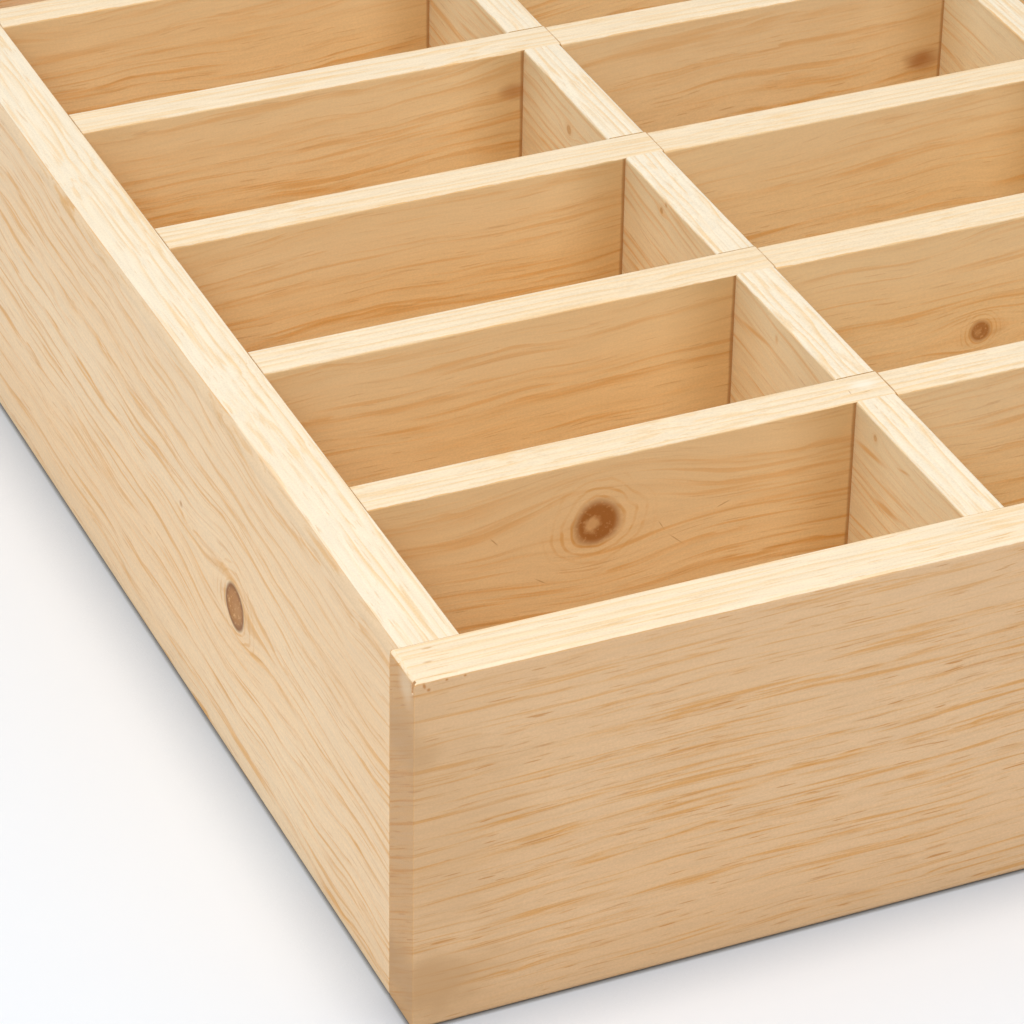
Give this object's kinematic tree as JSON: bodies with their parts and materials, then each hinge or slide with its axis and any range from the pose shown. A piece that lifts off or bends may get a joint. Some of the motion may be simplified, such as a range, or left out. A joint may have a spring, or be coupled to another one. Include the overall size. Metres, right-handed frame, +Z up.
{
  "type": "compartment tray",
  "caption": "Rectangular open pine tray split into a grid of deep compartments by lap-jointed dividers, for sorting small parts and craft supplies in a drawer.",
  "frame": {"origin": "middle of the underside, on the surface that the tray stands on", "axes": "+X to the right along the front board, +Y from the front board to the back, +Z up out of the compartments"},
  "size_m": [0.457, 0.441, 0.104],
  "materials": {
    "pine_side": "planed and sanded, unfinished",
    "pine_front": "planed and sanded, unfinished",
    "pine_divider": "planed and sanded, unfinished",
    "pine_partition": "planed and sanded, unfinished",
    "plywood_bottom": "sanded plywood, unfinished",
    "beech_dowel": "turned, unfinished"
  },
  "bodies": {
    "root": {"left_side": "pine_side", "right_side": "pine_side", "front_board": "pine_front", "back_board": "pine_front", "bottom_panel": "plywood_bottom", "left_partition": "pine_partition", "right_partition": "pine_partition", "left_divider_1": "pine_divider", "left_divider_2": "pine_divider", "left_divider_3": "pine_divider", "left_divider_4": "pine_divider", "left_divider_5": "pine_divider", "middle_divider_1": "pine_divider", "middle_divider_2": "pine_divider", "middle_divider_3": "pine_divider", "middle_divider_4": "pine_divider", "middle_divider_5": "pine_divider", "right_divider_1": "pine_divider", "right_divider_2": "pine_divider", "right_divider_3": "pine_divider", "right_divider_4": "pine_divider", "right_divider_5": "pine_divider", "corner_dowels": "beech_dowel"}
  },
  "joints": []
}
